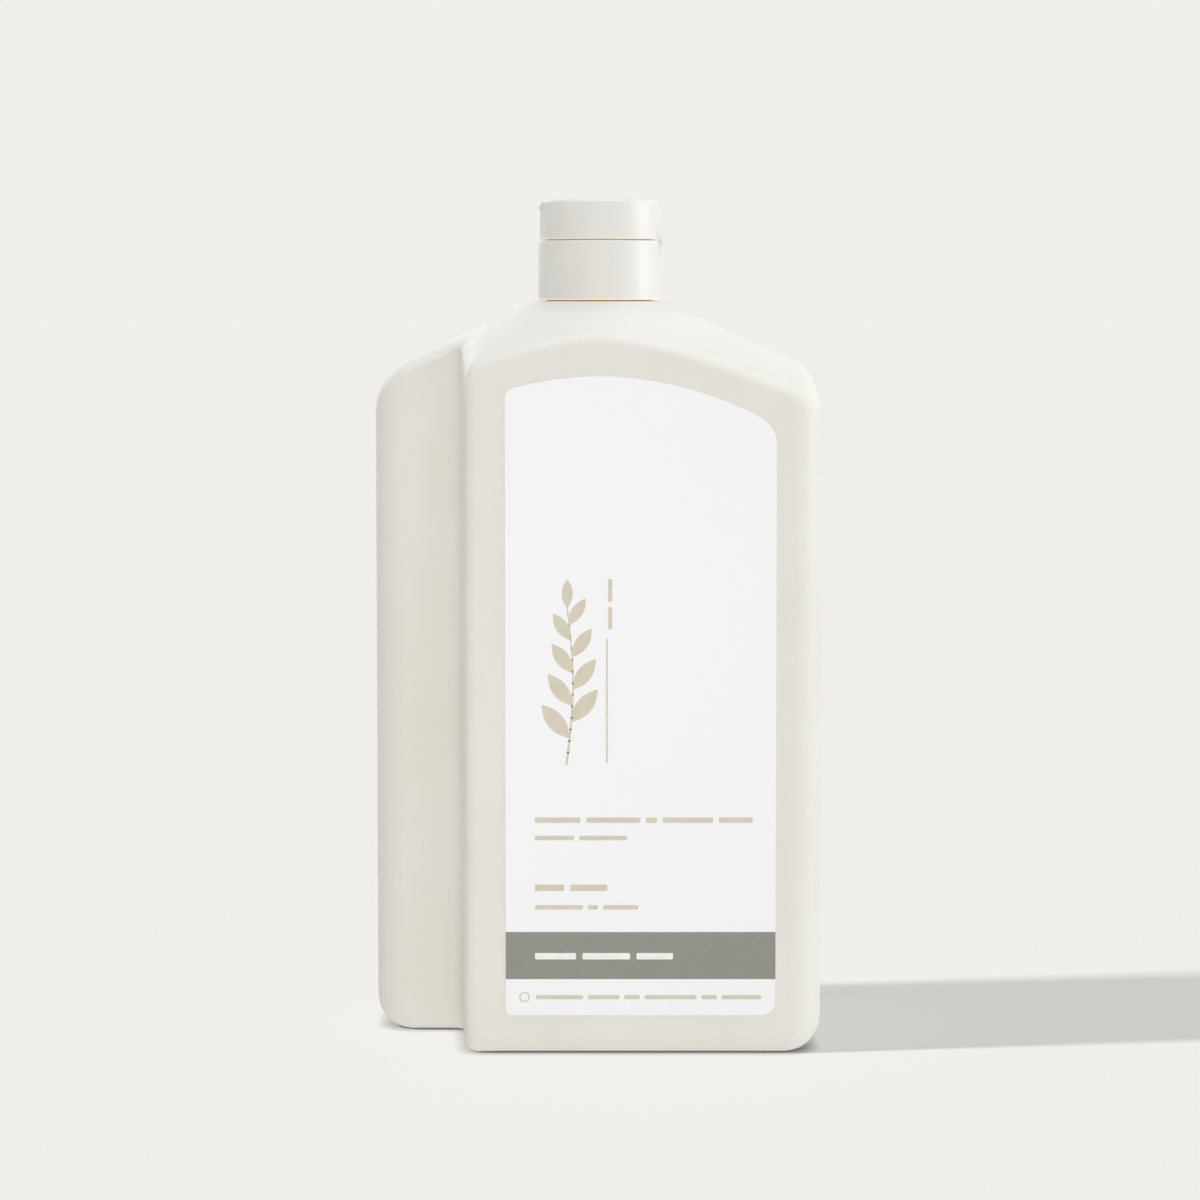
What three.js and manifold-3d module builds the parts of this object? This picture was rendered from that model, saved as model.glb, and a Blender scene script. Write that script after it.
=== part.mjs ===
// One litre refill bottle for liquid hand soap.
// A blown bottle with a hipped shoulder and a grip set back behind a step, its soap,
// a screw cap with a sealing ring and a flip lid, and a film label on the front panel.
// Millimetres, +Z up, front panel towards -Y, grip towards -X, neck on the Z axis.
import * as THREE from 'three';
import { mergeVertices } from 'three/addons/utils/BufferGeometryUtils.js';
import Module from 'manifold-3d';

const wasm = await Module();
wasm.setup();

// Bottle, plan view
const bodyDepth = 68;
const bodySide = 54.9;
const gripSide = 56.8;
const gripFace = 7.4;
const stepAtPanel = 33;
const stepSlant = 2.1;
const bodyCorner = 8.8;
const gripCorner = 9;
const stepEdge = 3;
const stepRoot = 3;

// Bottle, upright section
const wall = 1.2;
const shoulderHeight = 185.3;
const shoulderSlope = 0.45;
const hipPower = 1.5;
const panelCrest = 4.6;
const bodySideCrest = 9;
const gripSideCrest = 14;
const stepCrest = 10;
const stepCrease = THREE.MathUtils.degToRad(20);
const gripCrest = 11.7;
const gripCrease = THREE.MathUtils.degToRad(44);
const gripLevel = THREE.MathUtils.degToRad(82);
const panelFoot = 3.8;
const bodySideFoot = 8.6;
const gripSideFoot = 8;
const stepFoot = 3.2;
const gripFoot = 3.2;
const basePushUp = 1.6;
const basePushSlope = 2;
const basePushCorner = 9;
const standingWidth = 9.5;

// Neck and mouth
const neckRadius = 12.6;
const boreRadius = 10.85;
const neckRoot = 1.2;
const neckLength = 12.2;
const mouthRound = 0.5;

// Soap
const headspace = 25.7;
const fillClearance = 0.3;

// Screw cap
const capRadius = 15.5;
const capClearance = 0.55;
const capWall = 1.45;
const capEdge = 0.35;
const deckThickness = 1.4;
const deckDish = 0.66;
const sealThickness = 1;
const sealOverlap = 0.9;
const landRadius = 13.2;
const landRise = 1.4;
const landWidth = 1.3;
const spoutRadius = 5.2;
const spoutRise = 3.4;
const spoutTaper = 0.6;
const orificeRadius = 3.4;

// Flip lid
const lidRadius = 15.15;
const lidGap = 0.42;
const lidHeight = 9.82;
const lidWall = 1.45;
const lidRoof = 1.4;
const lidEdge = 1;
const pinClearance = 0.6;
const pinDepth = 1.8;
const pinTip = 0.5;
const thumbFacetRun = 2.4;
const thumbFacetDrop = 1.6;
const thumbLip = 0.55;
const thumbLipHeight = 0.9;
const thumbWidth = 10;

// Living hinge between cap and lid
const hingeWidth = 8;
const hingeReach = 0.4;
const hingeHeight = 3.4;
const hingeRoot = 1.1;

// Label
const labelStepMargin = 9.9;
const labelSideMargin = 11.6;
const labelFoot = 9.7;
const labelTopMargin = 9.8;
const labelCrownRadius = 78;
const labelThickness = 0.2;
const labelCorners = { footLeft: 1.6, footRight: 4, topLeft: 2.2, topRight: 5 };

// Smoothness of the facets
const arcChord = 1.8;
const arcLeast = 4;
const cornerRoom = 0.9;
const runStep = 5.6;
const outerSteps = 6;
const innerSteps = 3;
const turnSteps = 72;

const halfDepth = bodyDepth / 2;
const stepAtGrip = stepAtPanel + stepSlant;
const neckLandRadius = capRadius;
const mouthHeight = shoulderHeight + neckLength;
const deckUnder = mouthHeight + sealThickness;
const deckTop = deckUnder + deckThickness;
const capFoot = shoulderHeight + capClearance;
const capShelf = deckTop + deckDish;
const lidFoot = capShelf + lidGap;
const lidTop = lidFoot + lidHeight;
const lidBore = lidRadius - lidWall;
const spoutTop = deckTop + spoutRise;

// Plan outline
// Corners in order round the bottle, each with its rounding and with the crest and foot radii
// of the wall that leaves it. gripFace is how far the grip's face lies in front of the neck.
// A crest rolls smoothly out of its wall, or leaves it with a crease of the given angle,
// and ends on the slope of the shoulder, or at a level angle of its own.
function planCorners() {
  const gripEdge = { crest: gripCrest, crease: gripCrease, level: gripLevel, foot: gripFoot };
  const gripEnd = { crest: gripSideCrest, crease: 0, foot: gripSideFoot };
  const stepWall = { crest: stepCrest, crease: stepCrease, foot: stepFoot };
  const panel = { crest: panelCrest, crease: 0, foot: panelFoot };
  const plainSide = { crest: bodySideCrest, crease: 0, foot: bodySideFoot };
  return [
    { x: -gripSide, y: -gripFace, round: gripCorner, edge: gripEdge },
    { x: -stepAtGrip, y: -gripFace, round: stepRoot, edge: stepWall },
    { x: -stepAtPanel, y: -halfDepth, round: stepEdge, edge: panel },
    { x: bodySide, y: -halfDepth, round: bodyCorner, edge: plainSide },
    { x: bodySide, y: halfDepth, round: bodyCorner, edge: panel },
    { x: -gripSide, y: halfDepth, round: gripCorner, edge: gripEnd },
  ];
}

// A column is a point of the outline with its outward normal, its place between the edges of
// two walls and the room inside it, which at a rounded corner ends at the centre of the rounding.
function column(point, heading, edges, room = Infinity) {
  return { x: point.x, y: point.y, nx: Math.sin(heading), ny: -Math.cos(heading), ...edges, room };
}

function mixed(col, measure) {
  return THREE.MathUtils.lerp(measure(col.from), measure(col.to), col.share);
}

function roundedCorner(before, corner, after) {
  const a = new THREE.Vector2(before.x, before.y);
  const c = new THREE.Vector2(corner.x, corner.y);
  const b = new THREE.Vector2(after.x, after.y);
  const into = c.clone().sub(a).normalize();
  const out = b.clone().sub(c).normalize();
  const turn = Math.atan2(into.cross(out), into.dot(out));
  const reach = corner.round * Math.tan(Math.abs(turn) / 2);
  const start = c.clone().addScaledVector(into, -reach);
  const side = Math.sign(turn);
  const centre = start.clone().add(new THREE.Vector2(-into.y, into.x).multiplyScalar(side * corner.round));
  const room = side > 0 ? corner.round * cornerRoom : Infinity;
  const steps = Math.max(arcLeast, Math.ceil((Math.abs(turn) * corner.round) / arcChord));
  const columns = [];
  for (let k = 0; k <= steps; k += 1) {
    const heading = into.angle() + (turn * k) / steps;
    const spoke = new THREE.Vector2(Math.sin(heading), -Math.cos(heading));
    const point = centre.clone().addScaledVector(spoke, side * corner.round);
    columns.push(column(point, heading, { from: before.edge, to: corner.edge, share: k / steps }, room));
  }
  return columns;
}

function straightRun(start, end) {
  const a = new THREE.Vector2(start.x, start.y);
  const b = new THREE.Vector2(end.x, end.y);
  const heading = b.clone().sub(a).angle();
  const steps = Math.ceil(a.distanceTo(b) / runStep);
  const columns = [];
  for (let k = 1; k < steps; k += 1) {
    columns.push(column(a.clone().lerp(b, k / steps), heading, { from: start.to, to: start.to, share: 0 }));
  }
  return columns;
}

function planOutline() {
  const corners = planCorners();
  const next = (k) => (k + 1) % corners.length;
  const arcs = corners.map((corner, k) => roundedCorner(corners.at(k - 1), corner, corners[next(k)]));
  return arcs.flatMap((arc, k) => [...arc, ...straightRun(arc.at(-1), arcs[next(k)][0])]);
}

const outline = planOutline();

// Upright section, repeated at every column
// skin is the distance inside the outer surface. The shoulder runs straight down from the neck
// in every direction, and steepest towards the corners, by a hipPower under 2.
function shoulderAt(x, y, skin) {
  const radius = Math.hypot(x, y);
  const hip = Math.abs(x / radius) ** hipPower + Math.abs(y / radius) ** hipPower;
  const fall = shoulderSlope * hip ** (1 / hipPower) * (radius - neckLandRadius);
  return shoulderHeight - fall - skin * Math.hypot(1, shoulderSlope);
}

function insetPoint(col, inset, height) {
  const reach = Math.min(inset, col.room);
  return [col.x - col.nx * reach, col.y - col.ny * reach, height];
}

function footPoint(col, skin, floor, share) {
  const radius = Math.max(mixed(col, (edge) => edge.foot) - skin, wall / 2);
  const angle = share * (Math.PI / 2);
  return insetPoint(col, skin + radius * (1 - Math.sin(angle)), floor + radius * (1 - Math.cos(angle)));
}

function footRings(skin, floor, steps) {
  const shares = Array.from({ length: steps + 1 }, (_, k) => k / steps);
  return shares.map((share) => outline.map((col) => footPoint(col, skin, floor, share)));
}

function crestPoint(col, skin, share) {
  const drop = shoulderAt(col.x - col.nx, col.y - col.ny, skin) - shoulderAt(col.x, col.y, skin);
  const sweep = Math.PI / 2 - Math.atan(drop);
  const radius = (edge) => Math.max(edge.crest - skin, wall / 2);
  const angle = (edge, part) => THREE.MathUtils.lerp(edge.crease, edge.level ?? sweep, part);
  const run = (part) => mixed(col, (edge) => (
    radius(edge) * (Math.cos(edge.crease) - Math.cos(angle(edge, part)))
  ));
  const rise = (part) => mixed(col, (edge) => (
    radius(edge) * (Math.sin(angle(edge, part)) - Math.sin(edge.crease))
  ));
  const squeeze = Math.min(1, (col.room - skin) / run(1));
  const end = insetPoint(col, skin + squeeze * run(1), 0);
  const wallEnd = shoulderAt(end[0], end[1], skin) - rise(1);
  return insetPoint(col, skin + squeeze * run(share), wallEnd + rise(share));
}

function crestRings(skin, steps) {
  const shares = Array.from({ length: steps + 1 }, (_, k) => k / steps);
  return shares.map((share) => outline.map((col) => crestPoint(col, skin, share)));
}

// Neck rings keep the bearing of each column, so that the shoulder runs straight up to them.
function neckRing(radius, height) {
  return outline.map((col) => {
    const end = crestPoint(col, 0, 1);
    const bearing = Math.atan2(end[1], end[0]);
    return [radius * Math.cos(bearing), radius * Math.sin(bearing), height];
  });
}

// Solids from rings
function loft(rings, startPole, endPole) {
  const count = rings[0].length;
  const vertices = [startPole, ...rings.flat(), endPole];
  const at = (ring, col) => 1 + ring * count + (col % count);
  const faces = [];
  for (let col = 0; col < count; col += 1) {
    faces.push(0, at(0, col + 1), at(0, col));
    faces.push(vertices.length - 1, at(rings.length - 1, col), at(rings.length - 1, col + 1));
    for (let ring = 0; ring < rings.length - 1; ring += 1) {
      faces.push(at(ring, col), at(ring, col + 1), at(ring + 1, col + 1));
      faces.push(at(ring, col), at(ring + 1, col + 1), at(ring + 1, col));
    }
  }
  const geometry = new THREE.BufferGeometry();
  geometry.setAttribute('position', new THREE.Float32BufferAttribute(vertices.flat(), 3));
  geometry.setIndex(faces);
  return geometry;
}

function toSolid(geometry) {
  const bare = geometry.clone();
  bare.deleteAttribute('normal');
  bare.deleteAttribute('uv');
  const merged = mergeVertices(bare, 1e-4);
  return new wasm.Manifold(new wasm.Mesh({
    numProp: 3,
    vertProperties: new Float32Array(merged.attributes.position.array),
    triVerts: new Uint32Array(merged.index.array),
  }));
}

function toGeometry(solid) {
  const mesh = solid.getMesh();
  const geometry = new THREE.BufferGeometry();
  geometry.setAttribute('position', new THREE.Float32BufferAttribute(mesh.vertProperties, 3));
  geometry.setIndex(Array.from(mesh.triVerts));
  return geometry;
}

// A profile of [radius, height] pairs, anticlockwise seen with the radius to the right.
function revolve(profile) {
  const points = profile.map(([radius, height]) => new THREE.Vector2(radius, height));
  const geometry = new THREE.LatheGeometry(points, turnSteps);
  return geometry.rotateX(Math.PI / 2);
}

// A prism across the width of the cap, from a section of [x, z] pairs.
function crossPrism(section, width) {
  const shape = new THREE.Shape(section.map(([x, z]) => new THREE.Vector2(x, z)));
  const geometry = new THREE.ExtrudeGeometry(shape, { depth: width, bevelEnabled: false });
  return geometry.rotateX(Math.PI / 2).translate(0, width / 2, 0);
}

// Hollow pushed up into the base, which leaves a flat band to stand on
function basePushGeometry() {
  const left = standingWidth - stepAtPanel;
  const right = bodySide - standingWidth;
  const reach = halfDepth - standingWidth;
  const shape = new THREE.Shape();
  shape.absarc(left + basePushCorner, basePushCorner - reach, basePushCorner, Math.PI, 1.5 * Math.PI);
  shape.absarc(right - basePushCorner, basePushCorner - reach, basePushCorner, -0.5 * Math.PI, 0);
  shape.absarc(right - basePushCorner, reach - basePushCorner, basePushCorner, 0, 0.5 * Math.PI);
  shape.absarc(left + basePushCorner, reach - basePushCorner, basePushCorner, 0.5 * Math.PI, Math.PI);
  const edge = shape.getSpacedPoints(turnSteps).slice(0, -1);
  const middle = (left + right) / 2;
  const ring = (grow, height) => edge.map(({ x, y }) => [
    middle + (x - middle) * (1 + grow / (right - middle)),
    y * (1 + grow / reach),
    height,
  ]);
  const rings = [ring(basePushSlope, -basePushUp), ring(0, basePushUp)];
  return loft(rings, [middle, 0, -basePushUp], [middle, 0, basePushUp]);
}

// Bottle
function bottleGeometry() {
  const landUnder = shoulderAt(neckLandRadius, 0, wall);
  const neck = [
    neckRing(neckLandRadius, shoulderHeight),
    neckRing(neckRadius + neckRoot, shoulderHeight),
    neckRing(neckRadius + neckRoot * (1 - Math.SQRT1_2), shoulderHeight + neckRoot * (1 - Math.SQRT1_2)),
    neckRing(neckRadius, shoulderHeight + neckRoot),
    neckRing(neckRadius, mouthHeight - mouthRound),
    neckRing(neckRadius - mouthRound, mouthHeight),
    neckRing(boreRadius, mouthHeight),
    neckRing(boreRadius, landUnder),
    neckRing(neckLandRadius, landUnder),
  ];
  const floor = basePushUp + wall;
  const rings = [
    ...footRings(0, 0, outerSteps),
    ...crestRings(0, outerSteps),
    ...neck,
    ...crestRings(wall, innerSteps).reverse(),
    ...footRings(wall, floor, innerSteps).reverse(),
  ];
  const shell = loft(rings, [0, 0, 0], [0, 0, floor]);
  return toGeometry(toSolid(shell).subtract(toSolid(basePushGeometry())));
}

// Soap, filling the bottle up to its headspace
function soapGeometry() {
  const skin = wall + fillClearance;
  const floor = basePushUp + skin;
  const crown = shoulderAt(neckLandRadius, 0, skin);
  const sides = [...footRings(skin, floor, innerSteps), ...crestRings(skin, innerSteps)];
  const full = loft([...sides, neckRing(neckLandRadius, crown)], [0, 0, floor], [0, 0, crown]);
  const span = 4 * gripSide;
  const fillHeight = shoulderHeight - headspace;
  const below = new THREE.BoxGeometry(span, span, fillHeight);
  return toGeometry(toSolid(full).intersect(toSolid(below.translate(0, 0, fillHeight / 2))));
}

// Ring between the mouth and the deck of the cap
function sealGeometry() {
  const inner = boreRadius + fillClearance;
  const outer = neckRadius + sealOverlap;
  return revolve([
    [inner, mouthHeight],
    [outer, mouthHeight],
    [outer, deckUnder],
    [inner, deckUnder],
    [inner, mouthHeight],
  ]);
}

// Lug on the hinge side of the cap or lid, thickest at the parting line
function hingeLug(radius, partingHeight, direction) {
  const tip = capRadius + hingeReach;
  const end = partingHeight + direction * hingeHeight;
  const section = [
    [radius - hingeRoot, partingHeight],
    [tip, partingHeight],
    [tip, partingHeight + direction * capEdge],
    [radius - hingeReach, end],
    [radius - hingeRoot, end],
  ];
  return crossPrism(direction > 0 ? section : section.reverse(), hingeWidth);
}

// Screw cap with a dished deck, a spout and a land that the lid closes over
function capGeometry() {
  const bore = capRadius - capWall;
  const landTop = capShelf + landRise;
  const profile = [
    [bore, capFoot],
    [capRadius - capEdge, capFoot],
    [capRadius, capFoot + capEdge],
    [capRadius, capShelf - capEdge],
    [capRadius - capEdge, capShelf],
    [landRadius, capShelf],
    [landRadius, landTop - capEdge],
    [landRadius - capEdge, landTop],
    [landRadius - landWidth, landTop],
    [landRadius - landWidth - capEdge, deckTop],
    [spoutRadius, deckTop],
    [spoutRadius - spoutTaper, spoutTop - capEdge],
    [spoutRadius - spoutTaper - capEdge, spoutTop],
    [orificeRadius, spoutTop],
    [orificeRadius, deckUnder],
    [bore, deckUnder],
    [bore, capFoot],
  ];
  const lug = hingeLug(capRadius, capShelf, -1);
  return toGeometry(toSolid(revolve(profile)).add(toSolid(lug)));
}

// Flip lid with a sealing pin, a sloped thumb facet and a lip to lift it by
function lidGeometry() {
  const pinRadius = orificeRadius - pinClearance;
  const pinFoot = spoutTop - pinDepth;
  const roofUnder = lidTop - lidRoof;
  const edgeMid = lidEdge * Math.SQRT1_2;
  const profile = [
    [0, pinFoot],
    [pinRadius - pinTip, pinFoot],
    [pinRadius, pinFoot + pinTip],
    [pinRadius, roofUnder],
    [lidBore, roofUnder],
    [lidBore, lidFoot],
    [lidRadius - capEdge, lidFoot],
    [lidRadius, lidFoot + capEdge],
    [lidRadius, lidTop - lidEdge],
    [lidRadius - lidEdge + edgeMid, lidTop - lidEdge + edgeMid],
    [lidRadius - lidEdge, lidTop],
    [0, lidTop],
  ];
  const tip = -lidRadius - thumbLip;
  const tipHeight = lidTop - thumbFacetDrop;
  const facetStart = tip + thumbFacetRun;
  const lipFoot = tipHeight - thumbLipHeight;
  const lipBlock = crossPrism([
    [facetStart, lipFoot],
    [facetStart, lidTop],
    [tip, tipHeight],
    [tip + thumbLip, lipFoot],
  ].reverse(), thumbWidth);
  const lipReach = revolve([
    [0, lipFoot],
    [lidRadius + thumbLip, lipFoot],
    [lidRadius + thumbLip, lidTop],
    [0, lidTop],
  ]);
  const lip = toSolid(lipBlock).intersect(toSolid(lipReach));
  const above = crossPrism([
    [facetStart, lidTop],
    [tip, tipHeight],
    [tip, lidTop + lidEdge],
    [facetStart, lidTop + lidEdge],
  ].reverse(), 2 * lidRadius);
  const lug = hingeLug(lidRadius, lidFoot, 1);
  const shell = toSolid(revolve(profile)).subtract(toSolid(above));
  return toGeometry(shell.add(lip).add(toSolid(lug)));
}

// Film label on the flat front panel, its top following the shoulder
function labelGeometry() {
  const crownHeight = shoulderAt(0, halfDepth, 0) - labelTopMargin;
  const crown = (x) => crownHeight - (x * x) / (2 * labelCrownRadius);
  const { footLeft, footRight, topLeft, topRight } = labelCorners;
  const left = labelStepMargin - stepAtPanel;
  const right = bodySide - labelSideMargin;
  const startX = right - topRight;
  const endX = left + topLeft;
  const slopeAtStart = -startX / labelCrownRadius;
  const middleX = (startX + endX) / 2;
  const shape = new THREE.Shape();
  shape.moveTo(left + footLeft, labelFoot);
  shape.lineTo(right - footRight, labelFoot);
  shape.quadraticCurveTo(right, labelFoot, right, labelFoot + footRight);
  shape.lineTo(right, crown(right) - topRight);
  shape.quadraticCurveTo(right, crown(right), startX, crown(startX));
  shape.quadraticCurveTo(middleX, crown(startX) + slopeAtStart * (middleX - startX), endX, crown(endX));
  shape.quadraticCurveTo(left, crown(left), left, crown(left) - topLeft);
  shape.lineTo(left, labelFoot + footLeft);
  shape.quadraticCurveTo(left, labelFoot, left + footLeft, labelFoot);
  const geometry = new THREE.ExtrudeGeometry(shape, { depth: labelThickness, bevelEnabled: false });
  return geometry.rotateX(Math.PI / 2).translate(0, -halfDepth, 0);
}

// Assembly
function piece(name, geometry, color, roughness) {
  const material = new THREE.MeshStandardMaterial({ color, roughness, metalness: 0 });
  const mesh = new THREE.Mesh(geometry, material);
  mesh.name = name;
  return mesh;
}

const refillPack = new THREE.Group();
refillPack.add(
  piece('bottle', bottleGeometry(), 0xe6e4de, 0.45),
  piece('liquid_soap', soapGeometry(), 0xe9e2c8, 0.15),
  piece('sealing_ring', sealGeometry(), 0xf2f2ef, 0.8),
  piece('screw_cap', capGeometry(), 0xecebe6, 0.4),
  piece('flip_lid', lidGeometry(), 0xecebe6, 0.4),
  piece('front_label', labelGeometry(), 0xf4f4f3, 0.5),
);

export default refillPack;
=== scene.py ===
import math
import bpy
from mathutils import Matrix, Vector


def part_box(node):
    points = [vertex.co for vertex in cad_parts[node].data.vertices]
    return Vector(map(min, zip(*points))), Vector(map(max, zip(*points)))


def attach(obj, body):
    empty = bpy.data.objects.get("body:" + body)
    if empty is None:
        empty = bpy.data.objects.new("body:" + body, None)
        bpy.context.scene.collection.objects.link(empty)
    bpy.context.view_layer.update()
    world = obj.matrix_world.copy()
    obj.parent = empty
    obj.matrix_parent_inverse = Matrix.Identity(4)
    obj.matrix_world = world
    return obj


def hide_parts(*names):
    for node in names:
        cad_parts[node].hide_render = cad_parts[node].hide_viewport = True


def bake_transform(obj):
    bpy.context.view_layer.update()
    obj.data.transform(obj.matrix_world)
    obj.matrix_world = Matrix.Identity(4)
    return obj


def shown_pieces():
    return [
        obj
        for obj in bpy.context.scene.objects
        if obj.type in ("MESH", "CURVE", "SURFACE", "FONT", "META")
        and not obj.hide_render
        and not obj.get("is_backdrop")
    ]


# One litre hand soap refill bottle: blown bottle, flip-top cap, film label, on a pale studio floor.
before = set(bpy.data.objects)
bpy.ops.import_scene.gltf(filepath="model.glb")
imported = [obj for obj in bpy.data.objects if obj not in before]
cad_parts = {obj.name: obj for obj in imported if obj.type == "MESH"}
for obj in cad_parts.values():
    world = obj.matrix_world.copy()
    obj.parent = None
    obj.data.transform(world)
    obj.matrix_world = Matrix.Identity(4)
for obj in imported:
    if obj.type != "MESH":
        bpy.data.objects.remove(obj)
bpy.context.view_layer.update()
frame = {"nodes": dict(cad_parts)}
mm = 0.001
weldMm = 0.002
upright = (math.radians(90), 0, 0)
print("frame loaded:", ", ".join(frame["nodes"]))


# selection and small modelling helpers

def deselectAll():
    if bpy.context.object and bpy.context.object.mode != "OBJECT":
        bpy.ops.object.mode_set(mode="OBJECT")
    bpy.ops.object.select_all(action="DESELECT")


def pickOnly(*pieces):
    deselectAll()
    for piece in pieces:
        piece.select_set(True)
    bpy.context.view_layer.objects.active = pieces[0]


def editAll(piece):
    pickOnly(piece)
    bpy.ops.object.mode_set(mode="EDIT")
    bpy.ops.mesh.select_all(action="SELECT")


def selectVerts(piece, test):
    editAll(piece)
    bpy.ops.mesh.select_mode(type="VERT")
    bpy.ops.mesh.select_all(action="DESELECT")
    bpy.ops.object.mode_set(mode="OBJECT")
    for vert in piece.data.vertices:
        vert.select = test(vert.co)
    bpy.ops.object.mode_set(mode="EDIT")


def applyPlace(piece):
    pickOnly(piece)
    bpy.ops.object.transform_apply(location=True, rotation=True, scale=True)


def applyModifiers(piece):
    pickOnly(piece)
    for modifier in list(piece.modifiers):
        bpy.ops.object.modifier_apply(modifier=modifier.name)


def smoothSkin(piece, angle):
    pickOnly(piece)
    bpy.ops.object.shade_smooth_by_angle(angle=math.radians(angle))
    evenNormals = piece.modifiers.new("evenNormals", "WEIGHTED_NORMAL")
    evenNormals.keep_sharp = True
    applyModifiers(piece)


def copyOfNode(nodeName, pieceName):
    piece = bpy.data.objects.new(pieceName, frame["nodes"][nodeName].data.copy())
    bpy.context.scene.collection.objects.link(piece)
    piece.data.materials.clear()
    editAll(piece)
    bpy.ops.mesh.remove_doubles(threshold=weldMm * mm)
    bpy.ops.object.mode_set(mode="OBJECT")
    return piece


# material helpers

def colour(hexCode):
    channels = [int(hexCode[i:i + 2], 16) / 255 for i in (1, 3, 5)]
    return [c / 12.92 if c <= 0.04045 else ((c + 0.055) / 1.055) ** 2.4 for c in channels] + [1.0]


def addNode(tree, kind, inputs=None, **settings):
    node = tree.nodes.new(kind)
    for name, value in settings.items():
        setattr(node, name, value)
    for socket, value in (inputs or {}).items():
        if isinstance(value, bpy.types.NodeSocket):
            tree.links.new(value, node.inputs[socket])
        else:
            node.inputs[socket].default_value = value
    return node


def startMaterial(name):
    material = bpy.data.materials.new(name)
    material.use_nodes = True
    material.node_tree.nodes.clear()
    tree = material.node_tree
    coords = addNode(tree, "ShaderNodeTexCoord").outputs["Object"]
    return material, tree, coords


def perMetre(sizeInMm):
    return 1 / (sizeInMm * mm)


def endMaterial(tree, shader):
    addNode(tree, "ShaderNodeOutputMaterial", {"Surface": shader.outputs[0]})


def dress(piece, material):
    piece.data.materials.clear()
    piece.data.materials.append(material)


def dressFaces(piece, material, test):
    piece.data.materials.append(material)
    for face in piece.data.polygons:
        if test(face.center / mm):
            face.material_index = len(piece.data.materials) - 1


# satin plastics: a fine blasted mould grain breaks the gloss, broad unevenness makes the sheen drift
satin = {"driftDetail": 2.0, "grainDetail": 3.0, "tones": (0.35, 0.65), "glossFrom": 0.3, "glossTo": 0.7,
         "glossSpread": 0.03, "glowRadius": (1.0, 0.9, 0.7), "gapSamples": 8}


# a look with gapMm paints its deep tone and a glow (emission) only where other surfaces are that near:
# painted light in gaps, found by ambient occlusion
def satinPlastic(name, look):
    material, tree, coords = startMaterial(name)
    drift = addNode(tree, "ShaderNodeTexNoise", {"Vector": coords, "Scale": perMetre(look["driftMm"]),
                    "Detail": satin["driftDetail"]})
    grain = addNode(tree, "ShaderNodeTexNoise", {"Vector": coords, "Scale": perMetre(look["grainMm"]),
                    "Detail": satin["grainDetail"]})
    tint = addNode(tree, "ShaderNodeValToRGB", {"Fac": drift.outputs["Fac"]})
    deepEnd, paleEnd = tint.color_ramp.elements
    deepEnd.position, paleEnd.position = look.get("tones", satin["tones"])
    deepEnd.color = colour(look["deep"])[:3] + [look.get("paintedLight", 0.0)]
    paleEnd.color = colour(look["pale"])[:3] + [0.0]
    gloss = addNode(tree, "ShaderNodeMapRange", {"Value": drift.outputs["Fac"],
                    "From Min": satin["glossFrom"], "From Max": satin["glossTo"],
                    "To Min": look["roughness"] - satin["glossSpread"],
                    "To Max": look["roughness"] + satin["glossSpread"]})
    waves = addNode(tree, "ShaderNodeBump", {"Height": drift.outputs["Fac"], "Strength": look["waveStrength"],
                    "Distance": look["waveMm"] * mm})
    bump = addNode(tree, "ShaderNodeBump", {"Height": grain.outputs["Fac"], "Normal": waves.outputs["Normal"],
                   "Strength": look["grainStrength"], "Distance": look["grainDepthMm"] * mm})
    shader = addNode(tree, "ShaderNodeBsdfPrincipled", {"Base Color": tint.outputs["Color"],
                     "Roughness": gloss.outputs["Result"], "Normal": bump.outputs["Normal"],
                     "IOR": look["ior"], "Subsurface Weight": look["glow"],
                     "Subsurface Scale": look["glowMm"] * mm, "Subsurface Radius": satin["glowRadius"]})
    # painted light: ambient occlusion picks the tone, and the ramp's alpha sets how strongly it glows
    if "gapMm" in look:
        near = addNode(tree, "ShaderNodeAmbientOcclusion", {"Distance": look["gapMm"] * mm},
                       samples=satin["gapSamples"])
        tree.links.new(near.outputs["AO"], tint.inputs["Fac"])
        tree.links.new(tint.outputs["Color"], shader.inputs["Emission Color"])
        tree.links.new(tint.outputs["Alpha"], shader.inputs["Emission Strength"])
        material.cycles.emission_sampling = "NONE"
    endMaterial(tree, shader)
    return material


# camera, at the photograph's own viewpoint
cameraSetup = {"lens": 101.02, "sensor": 36, "place": (0.11 * mm, -854.7 * mm, 187.88 * mm),
               "tiltDown": 3.62, "shiftY": -0.08}


def addCamera(setup):
    deselectAll()
    turn = (math.radians(90 - setup["tiltDown"]), 0, 0)
    bpy.ops.object.camera_add(location=setup["place"], rotation=turn)
    camera = bpy.context.object
    camera.name = "photoCamera"
    camera.data.lens = setup["lens"]
    camera.data.sensor_width = setup["sensor"]
    camera.data.shift_y = setup["shiftY"]
    camera.data.dof.use_dof = False
    bpy.context.scene.camera = camera


addCamera(cameraSetup)
bpy.context.scene.view_settings.view_transform = "Standard"
print("camera placed")


# bottle: the blown shell, its mould seam and the thread on its neck
bottleLook = {"pale": "#E4E2DC", "deep": "#E0DED6", "roughness": 0.54, "ior": 1.54,
              "driftMm": 38, "grainMm": 0.5, "grainDepthMm": 0.02, "grainStrength": 0.25,
              "waveMm": 0.12, "waveStrength": 0.3, "glow": 0.15, "glowMm": 1.5}
bottleSetup = {"smoothAngle": 42, "landRadius": 15.4, "landHeight": 185.2, "landTop": 187}
seamSetup = {"plane": 1.8, "radius": 0.1, "neckCut": 185.6}
threadSetup = {"radius": 12.75, "foot": 188.6, "pitch": 4.23, "turns": 1.5, "halfHeight": 0.75, "reach": 0.9,
               "corners": 8, "steps": 96, "smoothAngle": 50}

# blown polyethylene: warm off-white with a broad, soft sheen along the rolled edges
hdpe = satinPlastic("blownPolyethylene", bottleLook)
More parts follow.
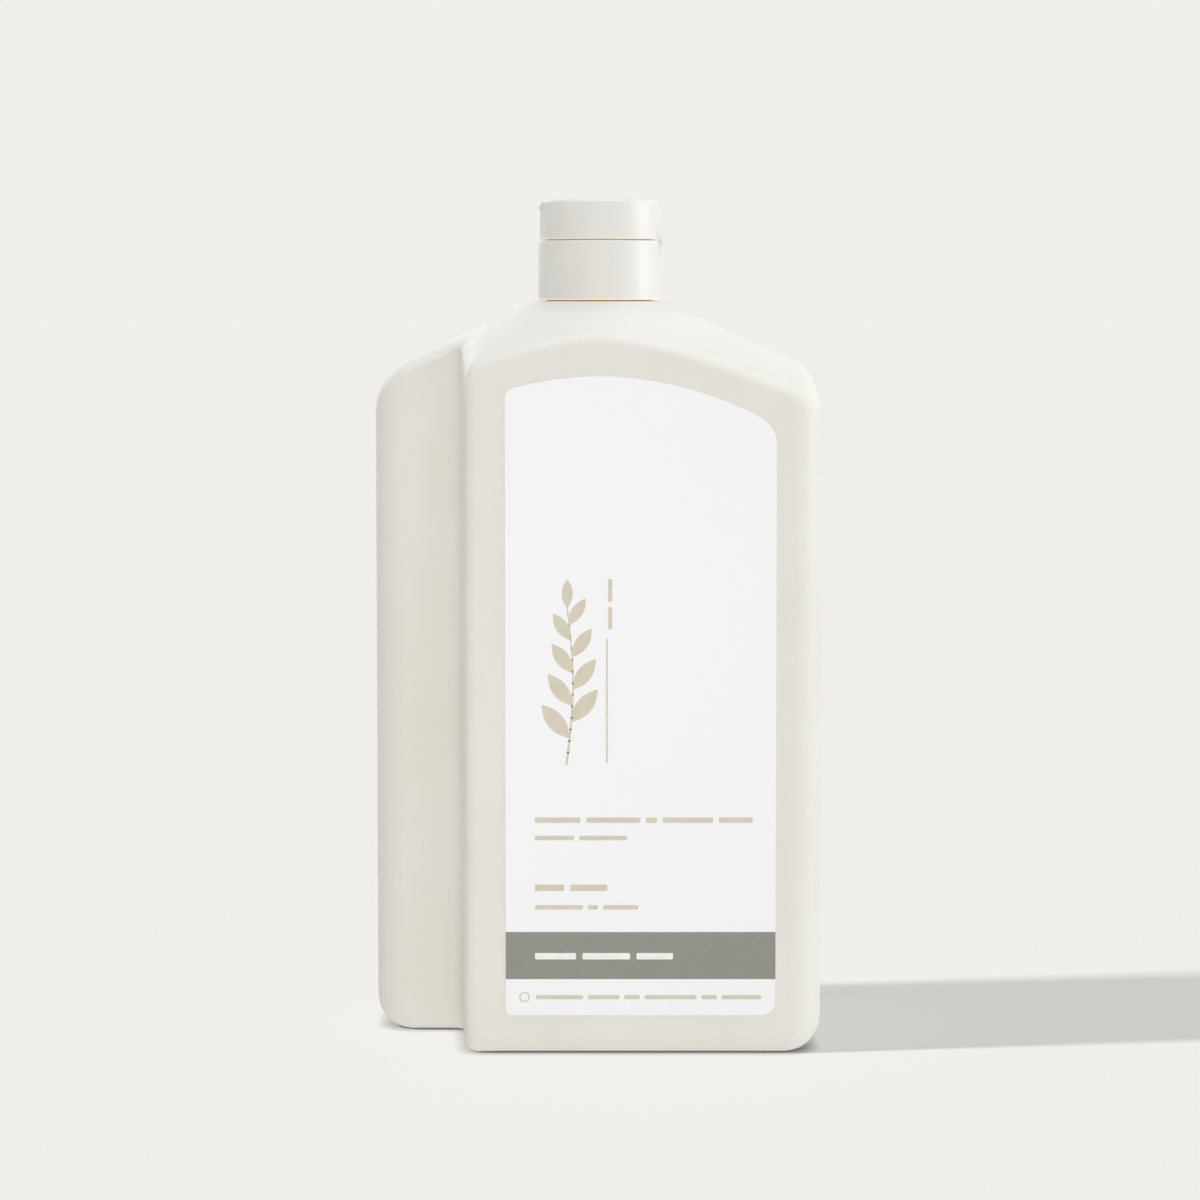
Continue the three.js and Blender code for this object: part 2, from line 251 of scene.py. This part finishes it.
# painted light: an amber tone and a glow are painted on the land in the narrow gap under the cap, where
# ambient occlusion finds the cap near; with the cap up, the ring is plain
paintedGapLightHdpe = satinPlastic("paintedGapLightPolyethylene", dict(bottleLook, deep="#E0B95C", paintedLight=0.28, gapMm=2,
                                                 tones=(0.45, 0.8)))


def makeBottle(setup):
    bottle = copyOfNode("bottle", "bottleSkin")
    smoothSkin(bottle, setup["smoothAngle"])
    dress(bottle, hdpe)
    neckLand = lambda at: at.xy.length < setup["landRadius"] and setup["landHeight"] < at.z < setup["landTop"]
    # the land under the cap takes the painted amber gap light
    dressFaces(bottle, paintedGapLightHdpe, neckLand)
    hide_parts("bottle")
    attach(bottle, "bottle_body")


# the outer skin alone is sliced at the parting plane, and the slice becomes a fine raised line
def makeSeam(setup):
    skin = copyOfNode("bottle", "mouldSeam")
    selectVerts(skin, lambda co: co.z > setup["neckCut"] * mm)
    bpy.ops.mesh.delete(type="VERT")
    bpy.ops.mesh.select_all(action="SELECT")
    bpy.ops.mesh.separate(type="LOOSE")
    bpy.ops.object.mode_set(mode="OBJECT")
    shells = [skin] + [o for o in bpy.context.selected_objects if o is not skin]
    shells.sort(key=lambda o: o.dimensions.x)
    for inner in shells[:-1]:
        bpy.data.objects.remove(inner)
    seam = shells[-1]
    seam.name = "mouldSeam"
    editAll(seam)
    bpy.ops.mesh.bisect(plane_co=(0, setup["plane"] * mm, 0), plane_no=(0, 1, 0),
                        clear_inner=True, clear_outer=True)
    bpy.ops.object.mode_set(mode="OBJECT")
    bpy.ops.object.convert(target="CURVE")
    seam.data.bevel_depth = setup["radius"] * mm
    seam.data.bevel_resolution = 1
    seam.data.use_fill_caps = True
    bpy.ops.object.convert(target="MESH")
    bpy.ops.object.shade_smooth()
    dress(seam, hdpe)
    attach(seam, "bottle_body")


# a small ring, flattened to a thread's section, is screwed up round the neck
def makeThread(setup):
    deselectAll()
    bpy.ops.mesh.primitive_circle_add(vertices=setup["corners"], radius=1, rotation=upright)
    thread = bpy.context.object
    thread.name = "neckThread"
    thread.scale = (setup["reach"] * mm, setup["halfHeight"] * mm, 1)
    thread.location = (setup["radius"] * mm, 0, setup["foot"] * mm)
    applyPlace(thread)
    screw = thread.modifiers.new("helix", "SCREW")
    screw.angle = setup["turns"] * 2 * math.pi
    screw.screw_offset = setup["turns"] * setup["pitch"] * mm
    screw.steps = screw.render_steps = setup["steps"]
    screw.use_merge_vertices = False
    applyModifiers(thread)
    editAll(thread)
    bpy.ops.mesh.fill_holes(sides=0)
    bpy.ops.mesh.select_all(action="SELECT")
    bpy.ops.mesh.normals_make_consistent(inside=False)
    bpy.ops.object.mode_set(mode="OBJECT")
    bpy.ops.object.shade_smooth_by_angle(angle=math.radians(setup["smoothAngle"]))
    dress(thread, hdpe)
    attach(thread, "bottle_body")


makeBottle(bottleSetup)
makeSeam(seamSetup)
makeThread(threadSetup)
print("bottle, seam and thread modelled")


# cap and lid: one injection moulding, folded at a living hinge
capLook = {"pale": "#E3E1DD", "deep": "#E0DED9", "roughness": 0.4, "ior": 1.49,
           "driftMm": 22, "grainMm": 0.4, "grainDepthMm": 0.012, "grainStrength": 0.2,
           "waveMm": 0.05, "waveStrength": 0.12, "glow": 0.2, "glowMm": 2.0}
capSetup = {"smoothAngle": 50, "landInside": 12.9, "landOutside": 13.4, "landFoot": 200.5, "landTop": 201.6,
            "footInside": 13.45}
# the lowest ring of cap and lid is let down a little, for the fine gap lines of the photograph
capFoot = {"below": 186.3, "drop": 0.2}
lidFoot = {"below": 201.4, "drop": 0.14}
hingeSetup = {"inside": 15.45, "outside": 15.9, "halfWidth": 3.4, "foot": 199.9, "top": 201.64, "line": 16,
              "cuts": 7, "bow": 0.12, "bowReach": 0.5, "edge": 0.12, "edgeSteps": 2, "smoothAngle": 40}

# moulded polypropylene: smoother than the bottle, so that the lamps draw a soft band down its right side
polypropylene = satinPlastic("mouldedPolypropylene", capLook)
# the same painted amber glow, tone and emission, on the land between cap and lid, where ambient occlusion
# finds the lid near
paintedGapLightPolypropylene = satinPlastic("paintedGapLightPolypropylene", dict(capLook, deep="#DBBB58", paintedLight=0.4, gapMm=2,
                                                           tones=(0.3, 0.7)))
# painted light: the lower rims of cap and lid glow (emission), most where ambient occlusion finds other
# surfaces near, so that they show as a fine pale line
paintedRimLightPolypropylene = satinPlastic("paintedRimLightPolypropylene", dict(capLook, paintedLight=0.4, gapMm=3, tones=(0.25, 1.0)))
# the strap is the thinnest place of the moulding; a warmer tint and a painted warm glow (emission), strongest
# where other surfaces are near, stand for light coming through it
paintedHingeLightPolypropylene = satinPlastic("paintedHingeLightPolypropylene", dict(capLook, pale="#E8E2CE", deep="#E8DDBA",
                                                             paintedLight=0.5, gapMm=3, tones=(0.3, 1.0)))


def makeMoulding(nodeName, pieceName, bodyName, foot):
    shell = copyOfNode(nodeName, pieceName)
    selectVerts(shell, lambda co: co.z < foot["below"] * mm and co.xy.length > capSetup["footInside"] * mm)
    bpy.ops.transform.translate(value=(0, 0, -foot["drop"] * mm))
    bpy.ops.object.mode_set(mode="OBJECT")
    smoothSkin(shell, capSetup["smoothAngle"])
    dress(shell, polypropylene)
    # the lowest rim takes the painted rim light
    dressFaces(shell, paintedRimLightPolypropylene,
               lambda at: at.z < foot["below"] - foot["drop"] and at.xy.length > capSetup["footInside"])
    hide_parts(nodeName)
    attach(shell, bodyName)
    return shell


# a strap across the parting line, bowed out in the middle where it bends
def makeHinge(setup):
    middle = (setup["foot"] + setup["top"]) / 2
    deselectAll()
    bpy.ops.mesh.primitive_cube_add(size=1)
    strap = bpy.context.object
    strap.name = "livingHinge"
    strap.scale = ((setup["outside"] - setup["inside"]) * mm, 2 * setup["halfWidth"] * mm,
                   (setup["top"] - setup["foot"]) * mm)
    strap.location = ((setup["outside"] + setup["inside"]) / 2 * mm, 0, middle * mm)
    applyPlace(strap)
    editAll(strap)
    bpy.ops.mesh.subdivide(number_cuts=setup["cuts"])
    selectVerts(strap, lambda co: abs(co.z - middle * mm) < setup["bowReach"] * mm)
    bpy.ops.transform.translate(value=(setup["bow"] * mm, 0, 0))
    bpy.ops.object.mode_set(mode="OBJECT")
    soften = strap.modifiers.new("soften", "BEVEL")
    soften.width = setup["edge"] * mm
    soften.segments = setup["edgeSteps"]
    soften.limit_method = "ANGLE"
    applyModifiers(strap)
    bpy.ops.object.shade_smooth_by_angle(angle=math.radians(setup["smoothAngle"]))
    # the strap takes the warm tint and painted glow
    dress(strap, paintedHingeLightPolypropylene)
    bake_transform(strap)


capShell = makeMoulding("screw_cap", "capShell", "cap_body", capFoot)
# the land under the lid takes the painted amber gap light
dressFaces(capShell, paintedGapLightPolypropylene,
           lambda at: capSetup["landInside"] < at.xy.length < capSetup["landOutside"]
           and capSetup["landFoot"] < at.z < capSetup["landTop"])
makeMoulding("flip_lid", "lidShell", "lid_body", lidFoot)
makeHinge(hingeSetup)
print("cap, lid and hinge modelled")


# label: the film stays as the CAD has it, the inks are thin layers on it
labelLow, labelHigh = (Vector(corner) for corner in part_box("front_label"))
inkSetup = {"layer": 0.03, "stemLayer": 0.04, "band": (18.7, 30.4), "barRound": 0.28, "ruleRound": 0.15,
            "cornerSteps": 4}
filmLook = {"pale": "#F4F4F6", "deep": "#F3F3F5", "roughness": 0.46, "ior": 1.5,
            "driftMm": 30, "grainMm": 0.6, "grainDepthMm": 0.01, "grainStrength": 0.2,
            "waveMm": 0.05, "waveStrength": 0.15, "glow": 0.0, "glowMm": 1.0}
inkLook = {"driftMm": 3, "roughness": 0.5}
inkTones = {"bandInk": ("#8A8C81", "#868880"), "beigeInk": ("#D3CCB9", "#CDC6B2"),
            "whiteInk": ("#F2F2EF", "#ECECE8")}
# foot of a line over the floor, height of its bars, then both ends of each bar from the label's left edge
printLines = [
    {"foot": 57.5, "height": 1.3,
     "bars": [(7.2, 18.4), (19.9, 33.1), (34.5, 37.2), (38.6, 51), (52.4, 60.7)]},
    {"foot": 53.2, "height": 1.1, "bars": [(7.2, 16.8), (18.1, 29.9)]},
    {"foot": 40.6, "height": 1.6, "bars": [(7.2, 14.4), (15.9, 25)]},
    {"foot": 36.0, "height": 1.1, "bars": [(7.2, 19), (20.3, 22.7), (24, 32.6)]},
    {"foot": 13.7, "height": 1.0,
     "bars": [(7.4, 19), (20.2, 28), (29.2, 33), (34.2, 47), (48.2, 52), (53.2, 62.9)]},
]
bandBars = {"foot": 23.6, "height": 1.6, "bars": [(7.2, 17.3), (18.9, 30.6), (32.2, 41.2)]}
# left, right, foot and top of each upright rule
uprightRules = [(24.7, 25.1, 72.3, 103), (25.2, 26.2, 105.3, 110.7), (25.2, 26.2, 112, 117.6)]
roundMark = {"x": 4.6, "z": 14.2, "outer": 1.3, "inner": 0.95, "corners": 40}
sprig = {"x": 15, "foot": 72, "top": 112, "stem": 0.55, "stemTaper": 0.6, "stemSteps": 14, "overlap": 1.12,
         "lean": 1.6, "leaves": 9, "firstLeaf": 0.16, "leafRun": 0.8, "length": 11.5, "width": 4.4,
         "spread": 42, "closing": 12, "taper": 0.4}
leafShape = {"corners": 36, "power": 2.6, "pinch": 0.75}


# printing inks: matt on the satin film, a little uneven where they lie thin
def inkPaper(name):
    pale, deep = inkTones[name]
    return satinPlastic(name, dict(filmLook, pale=pale, deep=deep, **inkLook))


# label film: whiter and more even than the bottle, with a faint satin sheen
film = satinPlastic("polypropyleneFilm", filmLook)
dress(frame["nodes"]["front_label"], film)


def onLabel(x, z):
    return Vector((labelLow.x + x * mm, labelLow.y, z * mm))


# a flat shape on the label gets its thickness here, facing out of the label
def raiseInk(shape, layer):
    applyPlace(shape)
    editAll(shape)
    bpy.ops.mesh.extrude_region_move(TRANSFORM_OT_translate={"value": (0, -layer * mm, 0)})
    bpy.ops.mesh.select_all(action="SELECT")
    bpy.ops.mesh.normals_make_consistent(inside=False)
    bpy.ops.object.mode_set(mode="OBJECT")
    return shape


def addBar(left, right, foot, top, rounding):
    deselectAll()
    bpy.ops.mesh.primitive_plane_add(size=1, rotation=upright)
    bar = bpy.context.object
    bar.scale = ((right - left) * mm, (top - foot) * mm, 1)
    bar.location = onLabel((left + right) / 2, (foot + top) / 2)
    applyPlace(bar)
    if rounding:
        editAll(bar)
        bpy.ops.mesh.bevel(offset=rounding * mm, segments=inkSetup["cornerSteps"], affect="VERTICES")
        bpy.ops.object.mode_set(mode="OBJECT")
    return raiseInk(bar, inkSetup["layer"])


def addLine(line):
    top = line["foot"] + line["height"]
    return [addBar(left, right, line["foot"], top, inkSetup["barRound"]) for left, right in line["bars"]]


def addRing(mark):
    deselectAll()
    bpy.ops.mesh.primitive_circle_add(vertices=mark["corners"], radius=mark["outer"] * mm, fill_type="NGON",
                                      rotation=upright, location=onLabel(mark["x"], mark["z"]))
    ring = bpy.context.object
    applyPlace(ring)
    editAll(ring)
    bpy.ops.mesh.inset(thickness=(mark["outer"] - mark["inner"]) * mm, depth=0)
    bpy.ops.mesh.delete(type="FACE")
    bpy.ops.object.mode_set(mode="OBJECT")
    return raiseInk(ring, inkSetup["layer"])


# a leaf is a disc drawn out to two points, turned about its stalk end
def addLeaf(stalk, length, width, lean):
    deselectAll()
    bpy.ops.mesh.primitive_circle_add(vertices=leafShape["corners"], radius=0.5, fill_type="NGON")
    leaf = bpy.context.object
    for vert in leaf.data.vertices:
        vert.co.x *= 1 - (2 * abs(vert.co.y)) ** leafShape["power"] * leafShape["pinch"]
        vert.co.y += 0.5
    leaf.scale = (width * mm, length * mm, 1)
    leaf.rotation_euler = (math.radians(90), math.radians(lean), 0)
    leaf.location = stalk
    return raiseInk(leaf, inkSetup["layer"])


def addSprig(plan):
    parts = []
    rise = plan["top"] - plan["foot"]
    stemX = lambda share: plan["x"] + plan["lean"] * math.sin(share * math.pi)
    steps = plan["stemSteps"]
    for k in range(steps):
        low, high = k / steps, (k + 1) / steps
        half = plan["stem"] * (1 - plan["stemTaper"] * low) / 2
        deselectAll()
        bpy.ops.mesh.primitive_plane_add(size=1, rotation=upright)
        stretch = bpy.context.object
        run = stemX(high) - stemX(low)
        stretch.scale = (2 * half * mm, math.hypot(run, rise / steps) * plan["overlap"] * mm, 1)
        stretch.rotation_euler.y = math.atan2(run, rise / steps)
        stretch.location = onLabel((stemX(low) + stemX(high)) / 2, plan["foot"] + rise * (low + high) / 2)
        parts.append(raiseInk(stretch, inkSetup["stemLayer"]))
    for k in range(plan["leaves"]):
        share = plan["firstLeaf"] + plan["leafRun"] * k / (plan["leaves"] - 1)
        size = 1 - plan["taper"] * share
        side = 1 if k % 2 else -1
        lean = 0 if k == plan["leaves"] - 1 else side * (plan["spread"] - plan["closing"] * share)
        stalk = onLabel(stemX(share), plan["foot"] + rise * share)
        parts.append(addLeaf(stalk, plan["length"] * size, plan["width"] * size, lean))
    return parts


def joinInk(parts, name):
    pickOnly(*parts)
    bpy.ops.object.join()
    layer = bpy.context.object
    layer.name = name
    applyPlace(layer)
    dress(layer, inkPaper(name))
    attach(layer, "bottle_body")


labelWidth = (labelHigh.x - labelLow.x) / mm
beigeParts = [bar for line in printLines for bar in addLine(line)]
beigeParts += [addBar(*rule, inkSetup["ruleRound"]) for rule in uprightRules]
beigeParts += [addRing(roundMark)] + addSprig(sprig)
joinInk(beigeParts, "beigeInk")
joinInk([addBar(0, labelWidth, *inkSetup["band"], 0)], "bandInk")
whiteParts = addLine(bandBars)
for part in whiteParts:
    part.location.y -= inkSetup["layer"] * mm  # white is printed over the band
    applyPlace(part)
joinInk(whiteParts, "whiteInk")
print("label printed")


# inside: pale liquid soap and a foam sealing ring
soapLook = {"pale": "#EFE6C8", "deep": "#E4D9B4", "pearlMm": 12, "pearlDetail": 4.0, "pearlTwist": 1.5,
            "roughness": 0.1, "ior": 1.36, "glow": 0.4, "glowMm": 4}
foamLook = {"pale": "#F3F3EF", "deep": "#E6E6E0", "roughness": 0.8, "ior": 1.45,
            "driftMm": 6, "grainMm": 0.3, "grainDepthMm": 0.05, "grainStrength": 0.6,
            "waveMm": 0.02, "waveStrength": 0.1, "glow": 0.1, "glowMm": 0.5}


# liquid soap: slightly pearly, glossy at its surface
def makeSoap(look):
    material, tree, coords = startMaterial("liquidSoap")
    swirl = addNode(tree, "ShaderNodeTexNoise", {"Vector": coords, "Scale": perMetre(look["pearlMm"]),
                    "Detail": look["pearlDetail"], "Distortion": look["pearlTwist"]})
    tone = addNode(tree, "ShaderNodeValToRGB", {"Fac": swirl.outputs["Fac"]})
    tone.color_ramp.elements[0].color = colour(look["deep"])
    tone.color_ramp.elements[1].color = colour(look["pale"])
    shader = addNode(tree, "ShaderNodeBsdfPrincipled", {"Base Color": tone.outputs["Color"],
                     "IOR": look["ior"], "Roughness": look["roughness"],
                     "Subsurface Weight": look["glow"], "Subsurface Scale": look["glowMm"] * mm})
    endMaterial(tree, shader)
    return material


dress(frame["nodes"]["liquid_soap"], makeSoap(soapLook))
# closed-cell foam: matt white with fine pores
dress(frame["nodes"]["sealing_ring"], satinPlastic("closedCellFoam", foamLook))
print("contents finished")


# studio: pale floor, even sky, soft lamps on the pack and one low lamp that draws the shadow on the floor
studio = {"backdrop": "#F0EFEC", "flatShare": 0.657, "litShare": 0.138, "sky": 0.25, "bounce": 0.95,
          "contactMm": 3.6, "contactPower": 0.9, "contactSamples": 12, "floorSize": 40}
lamps = {
    "frontSoft": {"place": (0.0, -1.6, 0.12), "size": (0.6, 0.6),
                  "aim": 0.105, "watts": 2.35, "tint": "#FFFDFA"},
    "frontLow": {"place": (0.0, -0.65, 0.03), "size": (0.6, 0.06),
                 "aim": 0.05, "watts": 0.68, "tint": "#FFFDFA"},
    "leftLow": {"place": (-0.35, -0.55, 0.03), "size": (0.5, 0.06),
                "aim": 0.05, "watts": 0.53, "tint": "#FFFDFA"},
    "rightSide": {"place": (1.3, -0.02, 0.25), "size": (0.6, 0.6),
                  "aim": 0.105, "watts": 6.8, "tint": "#F9FCFF"},
    "rightFront": {"place": (1.09, -0.51, 0.25), "size": (0.6, 0.6),
                   "aim": 0.12, "watts": 0.8, "tint": "#F9FCFF"},
    "topSoft": {"place": (0.0, -0.1, 1.2), "size": (0.9, 0.9),
                "aim": 0.105, "watts": 9.0, "tint": "#F9FCFF"},
    "backRight": {"place": (0.9, 0.6, 0.6), "size": (0.7, 0.7),
                  "aim": 0.105, "watts": 1.75, "tint": "#FFFFFF"},
    "backLeft": {"place": (-0.6, 1.3, 0.6), "size": (0.7, 0.7),
                 "aim": 0.105, "watts": 4.0, "tint": "#FFFFFF"},
}
shadowLamp = {"travel": 8, "elevation": 36, "strength": 11.6, "angle": 3.5}


def seenByEye(tree):
    path = addNode(tree, "ShaderNodeLightPath")
    either = addNode(tree, "ShaderNodeMath", {0: path.outputs["Is Camera Ray"],
                     1: path.outputs["Is Glossy Ray"]}, operation="MAXIMUM")
    return addNode(tree, "ShaderNodeMath", {0: either.outputs[0], 1: path.outputs["Is Transmission Ray"]},
                   operation="MAXIMUM").outputs[0]


# painted floor: a flat colour to the eye, with a painted contact shadow, a thin dark line drawn by ambient
# occlusion where the pack stands on it; part of it is lit by the low lamp, so that the shadow stays
def makeFloor(setup):
    deselectAll()
    bpy.ops.mesh.primitive_plane_add(size=setup["floorSize"])
    floor = bpy.context.object
    floor.name = "studioFloor"
    material, tree = startMaterial("paintedFloor")[:2]
    paintColour = colour(setup["backdrop"])
    # painted shade: ambient occlusion darkens the flat colour close to the pack
    contact = addNode(tree, "ShaderNodeAmbientOcclusion", {"Distance": setup["contactMm"] * mm},
                      samples=setup["contactSamples"])
    nearSky = addNode(tree, "ShaderNodeMath", {0: contact.outputs["AO"], 1: setup["contactPower"]},
                      operation="POWER")
    level = addNode(tree, "ShaderNodeMath", {0: nearSky.outputs[0], 1: setup["flatShare"]},
                    operation="MULTIPLY")
    flat = addNode(tree, "ShaderNodeEmission", {"Color": paintColour, "Strength": level.outputs[0]})
    shade = [channel * setup["litShare"] for channel in paintColour[:3]] + [1]
    paint = addNode(tree, "ShaderNodeBsdfDiffuse", {"Color": shade})
    seen = addNode(tree, "ShaderNodeAddShader", {0: flat.outputs[0], 1: paint.outputs[0]})
    bounce = addNode(tree, "ShaderNodeEmission", {"Color": paintColour, "Strength": setup["bounce"]})
    mixed = addNode(tree, "ShaderNodeMixShader", {0: seenByEye(tree), 1: bounce.outputs[0],
                    2: seen.outputs[0]})
    endMaterial(tree, mixed)
    dress(floor, material)
    floor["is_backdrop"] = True
    return floor


def makeSky(setup):
    world = bpy.data.worlds.new("studioSky")
    world.use_nodes = True
    bpy.context.scene.world = world
    tree = world.node_tree
    tree.nodes.clear()
    light = addNode(tree, "ShaderNodeBackground", {"Color": (1, 1, 1, 1), "Strength": setup["sky"]})
    seen = addNode(tree, "ShaderNodeBackground", {"Color": colour(setup["backdrop"]), "Strength": 1.0})
    mixed = addNode(tree, "ShaderNodeMixShader", {0: seenByEye(tree), 1: light.outputs[0],
                    2: seen.outputs[0]})
    addNode(tree, "ShaderNodeOutputWorld", {"Surface": mixed.outputs[0]})


def linkGroup(name, members):
    group = bpy.data.collections.new(name)
    for member in members:
        group.objects.link(member)
    return group


def addLamps(packGroup, floorGroup):
    for name, lamp in lamps.items():
        deselectAll()
        bpy.ops.object.light_add(type="AREA", location=lamp["place"])
        light = bpy.context.object
        light.name = name
        light.data.energy = lamp["watts"]
        light.data.color = colour(lamp["tint"])[:3]
        light.data.shape = "RECTANGLE"
        light.data.size, light.data.size_y = lamp["size"]
        light.visible_camera = False
        aim = Vector((0, 0, lamp["aim"])) - light.location
        light.rotation_euler = aim.to_track_quat("-Z", "Y").to_euler()
        light.light_linking.receiver_collection = packGroup
    deselectAll()
    bpy.ops.object.light_add(type="SUN")
    low = bpy.context.object
    low.name = "shadowLamp"
    low.data.energy = shadowLamp["strength"]
    low.data.angle = math.radians(shadowLamp["angle"])
    turn, rise = math.radians(shadowLamp["travel"]), math.radians(shadowLamp["elevation"])
    travel = Vector((math.cos(turn) * math.cos(rise), math.sin(turn) * math.cos(rise), -math.sin(rise)))
    low.rotation_euler = travel.to_track_quat("-Z", "Y").to_euler()
    low.light_linking.receiver_collection = floorGroup


floor = makeFloor(studio)
makeSky(studio)
addLamps(linkGroup("packLit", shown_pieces()), linkGroup("floorLit", [floor]))
print("studio lit")
